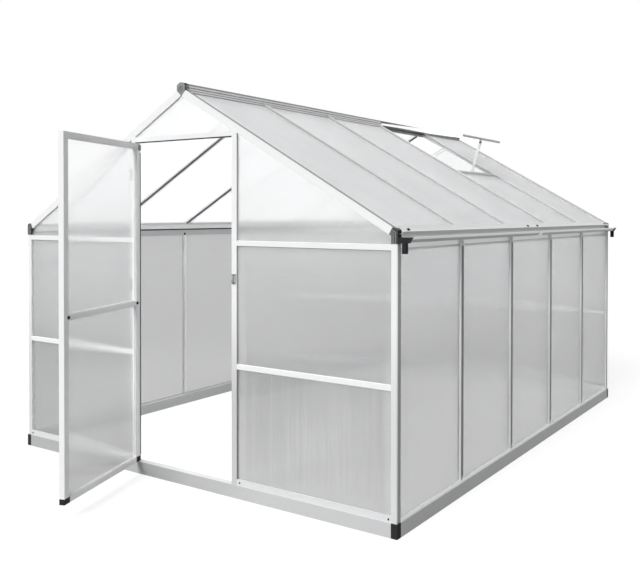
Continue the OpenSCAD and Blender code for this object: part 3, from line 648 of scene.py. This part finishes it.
# The studs' outer faces are painted darker, as painted shade, and they are darker towards the bottom.
stud_upright = aluminium("stud_upright", WHITE, "Z", {looks_out: 0.6, low_part: 0.66})
finish_with(stud_upright, "door_posts", "rear_studs")
white_across = aluminium("white_across", WHITE, "X", {looks_down: 0.1})
finish_with(white_across, "door_header", "front_rails", "rear_rails")
header_low, header_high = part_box("door_header")
header_seal = rounded_strip("header_seal",
                            (header_low.x, header_low.y - HEADER_SEAL_OUT, header_low.z + HEADER_SEAL_Z[0]),
                            (header_high.x, header_low.y, header_low.z + HEADER_SEAL_Z[1]),
                            HEADER_SEAL_ROUND)
dress(header_seal, black_steel, "house")

# Glazing. Twin-wall sheets with ribs every 6 mm, slid into the bars. The walls and the door have clear
# ones, which blur what stands behind them, and the roof has paler ones that scatter more of the sun.
RIB_STEP = 0.006
STREAKS_ACROSS = 40.0
STREAKS_ALONG = 0.8
STREAK_PALE = 0.4
CLOUD_PALE = 0.45
EDGE_BAND = (0.085, 0.03)
SILL_BAND = (0.22, 0.1)
SILL_PALE = 0.7
HALF_PALE_Z = (0.5, 0.8)
HALF_PALE = 0.55
FULL_PALE_Z = (0.95, 1.2)
MILK_ON_Z = (0.7, 1.1)
MILK_OFF_Z = (1.22, 1.34)
MILK = 0.15
SHEET_PALE = (1.0, 1.0, 1.0, 1.0)
SHEET_HAZE = (0.94, 0.945, 0.95, 1.0)
SHEET_SHADOW = (0.65, 0.65, 0.65, 1.0)
EVEN_FOOT = (1.0, 0.9, 0.5)


def twin_wall(name, across, tone, clear, scatter, rough, ribs, edges=(), turn=0.0, foot=EVEN_FOOT):
    """A ribbed sheet with painted light: paler along its edges, given by their places across the ribs, next
    to its sill and towards its top.
    Foot is painted shade, a darker tone with the heights between which it comes in."""
    material = bpy.data.materials.new(name)
    m = fresh_tree(material)
    place = m.node("TexCoord", {}, {}, "Object")
    place = m.node("Mapping", {}, {"Vector": place, "Rotation": (0.0, 0.0, turn)})
    side = part_of(m, place, across)
    height = part_of(m, place, "Z")
    rib = m.maths("SINE", side * (2 * math.pi / RIB_STEP), 0.0)
    stretch = [STREAKS_ALONG] * 3
    stretch["XYZ".index(across)] = STREAKS_ACROSS
    lines = m.node("Mapping", {}, {"Vector": place, "Scale": stretch})
    streak = m.node("TexNoise", {}, {"Vector": lines, "Scale": 1.0, "Detail": 5.0, "Roughness": 0.7})
    cloud = m.node("TexNoise", {}, {"Vector": place, "Scale": 2.2, "Detail": 2.0})
    paler = STREAK_PALE * ease(m, streak, 0.35, 0.65) + CLOUD_PALE * ease(m, cloud, 0.3, 0.7)
    milky = scatter
    for edge in edges:
        gap = size_of(m, size_of(m, side) - edge)
        paler = m.maths("MAXIMUM", paler, ease(m, gap, *EDGE_BAND))
    # Paler bands by the bars, by the sill and towards the top: painted light.
    if edges:
        paler = m.maths("MAXIMUM", paler, SILL_PALE * ease(m, height, *SILL_BAND))
        paler = m.maths("MAXIMUM", paler, HALF_PALE * ease(m, height, *HALF_PALE_Z))
        paler = m.maths("MAXIMUM", paler, ease(m, height, *FULL_PALE_Z))
        milky = scatter + MILK * (ease(m, height, *MILK_ON_Z) - ease(m, height, *MILK_OFF_Z))
    foot_shade, top, bottom = foot
    skin = mixed_tone(m, paler, (*tone, 1.0), SHEET_PALE)
    skin = mixed_tone(m, ease(m, height, top, bottom), skin, (foot_shade, foot_shade, foot_shade, 1.0), "MULTIPLY")
    bump = m.node("Bump", {}, {"Strength": 1.0, "Distance": ribs, "Height": rib})
    face = m.node("BsdfPrincipled", {}, {"Base Color": skin, "Roughness": rough + 0.05 * streak,
                                         "Normal": bump, "IOR": 1.35, "Transmission Weight": clear,
                                         "Specular IOR Level": 0.3})
    haze = m.node("BsdfTranslucent", {}, {"Color": SHEET_HAZE})
    sheet = m.node("MixShader", {}, {"Fac": milky, 1: face, 2: haze})
    lamp = m.node("LightPath", {}, {}, "Is Shadow Ray")
    passing = m.node("BsdfTransparent", {}, {"Color": SHEET_SHADOW})
    m.node("OutputMaterial", {}, {"Surface": m.node("MixShader", {}, {"Fac": lamp, 1: sheet, 2: passing})})
    return material


# The gable sheets take a darker tone than the side sheets of the same kind: painted shade.
GABLE_TONE = (0.85, 0.853, 0.857)
GABLE_EDGES = (0.366, 1.235)
SIDE_TONE = (0.985, 0.987, 0.99)
SIDE_EDGES = (0.0, *bar_lines, BAYS * BAY)
LEAF_TONE = (0.985, 0.987, 0.99)
LEAF_TURN = math.radians(70.0)
ROOF_TONE = (0.78, 0.785, 0.79)
wall_x = twin_wall("wall_sheet_x", "X", GABLE_TONE, clear=0.97, scatter=0.08, rough=0.06, ribs=0.00015,
                   edges=GABLE_EDGES, foot=(0.87, 0.72, 0.6))
wall_y = twin_wall("wall_sheet_y", "Y", SIDE_TONE, clear=0.97, scatter=0.08, rough=0.06, ribs=0.00015,
                   edges=SIDE_EDGES)
leaf_sheet = twin_wall("leaf_sheet", "X", LEAF_TONE, clear=1.0, scatter=0.02, rough=0.08, ribs=0.00005,
                       turn=LEAF_TURN, foot=(0.8, 0.5, 0.15))
roof_y = twin_wall("roof_sheet_y", "Y", ROOF_TONE, clear=0.85, scatter=0.4, rough=0.3, ribs=0.00004)
finish_with(wall_x, "front_panels", "rear_panels")
finish_with(wall_y, "left_wall_panels", "right_wall_panels")
finish_with(leaf_sheet, "door_panes")
finish_with(roof_y, "left_roof_panels", "right_roof_panels", "vent_pane")

# Vent. A white sash hung under the ridge and held up by a cranked stay that drops past the sill. The
# stay turns on a black pin in the sash's lug.
STAY_PIN = (0.6355, 1.8368)
STAY_PIN_R = 0.0065
# The upper and outer faces of sill and sash are painted darker: painted shade.
vent_white = aluminium("vent_white", WHITE, "Y", {looks_up: 0.55, looks_out: 0.8})
finish_with(vent_white, "vent_sill", "vent_sash")
finish_with(aluminium("stay_white", WHITE, "Z"), "vent_stay")
stay_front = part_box("vent_stay")[0].y
pin_head = ((STAY_PIN[0], stay_front, STAY_PIN[1]), (0, -1, 0))
stay_pin = headed_fastener(STAY_PIN_R, LARGE_HEAD)
fit_copies(stay_pin, "stay_pin", [pin_head], "house", black_steel)

# Door. White stiles and rails round two panes, black shoes, grey hinges and a grey latch. Black screws
# hold the middle rail and the keeper, and a black seal runs down the hinge edge under its corner block.
FITTING_GREY = (0.42, 0.425, 0.43)
HINGE_LINE = Vector((-0.331, -0.007, 0.0))
HINGE_GAP = 0.003
PIN_INSET = 0.007
LEAF_BACK = 0.026
finish_with(aluminium("white_leaf", WHITE, "Z", metal=0.2), "door_frame")
finish_with(black, "door_caps")
fitting_grey = aluminium("fitting_grey", FITTING_GREY, "Z")
finish_with(fitting_grey, "hinge_brackets", "door_hinges", "door_catch", "door_handle")
leaf_along = Vector((math.cos(LEAF_TURN), -math.sin(LEAF_TURN), 0.0))
leaf_out = Vector((math.sin(LEAF_TURN), math.cos(LEAF_TURN), 0.0))
leaf_corner = HINGE_LINE + leaf_along * HINGE_GAP + leaf_out * (LEAF_BACK + PIN_INSET)


def leaf_strip(name, along, z, finish, depth, rounding):
    """A strip that stands on the leaf's inner face between two places along it and two heights."""
    strip = rounded_strip(name, (along[0], 0.0, z[0]), (along[1], depth, z[1]), rounding)
    strip.data.transform(Matrix.Translation(leaf_corner) @ Matrix.Rotation(-LEAF_TURN, 4, "Z"))
    dress(strip, finish, "door")


DOOR_SEAL_RUN = (0.0005, 0.0035)
DOOR_SEAL_Z = (0.1, 1.66)
leaf_strip("door_seal", DOOR_SEAL_RUN, DOOR_SEAL_Z, black_steel,
           depth=0.003, rounding=0.0008)
BLOCK_RUN = (0.004, 0.02)
BLOCK_Z = (1.672, 1.7)
leaf_strip("door_corner_block", BLOCK_RUN, BLOCK_Z, knee_black,
           depth=0.008, rounding=0.002)
RAIL_RUN = (0.047, 0.609)
MIDDLE_BEAD_Z = (0.8985, 0.9035)
BOTTOM_BEAD_Z = (0.095, 0.1)
bead_white = aluminium("glazing_bead", WHITE, "Z", metal=0.6)
leaf_strip("middle_rail_bead", RAIL_RUN, MIDDLE_BEAD_Z, bead_white,
           depth=0.002, rounding=0.0008)
leaf_strip("bottom_rail_bead", RAIL_RUN, BOTTOM_BEAD_Z, bead_white,
           depth=0.002, rounding=0.0008)
RAIL_SCREW_R = 0.008
RAIL_SCREW_ALONG = (0.033, 0.623)
RAIL_SCREW_UP = Vector((0, 0, 0.8885))
rail_heads = [(leaf_corner + leaf_along * along + RAIL_SCREW_UP, leaf_out) for along in RAIL_SCREW_ALONG]
rail_screw = headed_fastener(RAIL_SCREW_R, LARGE_HEAD)
fit_copies(rail_screw, "rail_screws", rail_heads, "door", black_steel)
KEEPER_SCREW_R = 0.004
KEEPER_FACE = -0.003
KEEPER_INSET = (0.005, 0.006)
POST_EDGE = 0.337
catch_low, catch_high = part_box("door_catch")
keeper_x = (POST_EDGE + catch_high.x) / 2
keeper_z = (catch_low.z + KEEPER_INSET[0], catch_high.z - KEEPER_INSET[1])
keeper_heads = [((keeper_x, KEEPER_FACE, z), (0, -1, 0)) for z in keeper_z]
keeper_screw = headed_fastener(KEEPER_SCREW_R, SMALL_HEAD)
fit_copies(keeper_screw, "keeper_screws", keeper_heads, "house", black_steel)
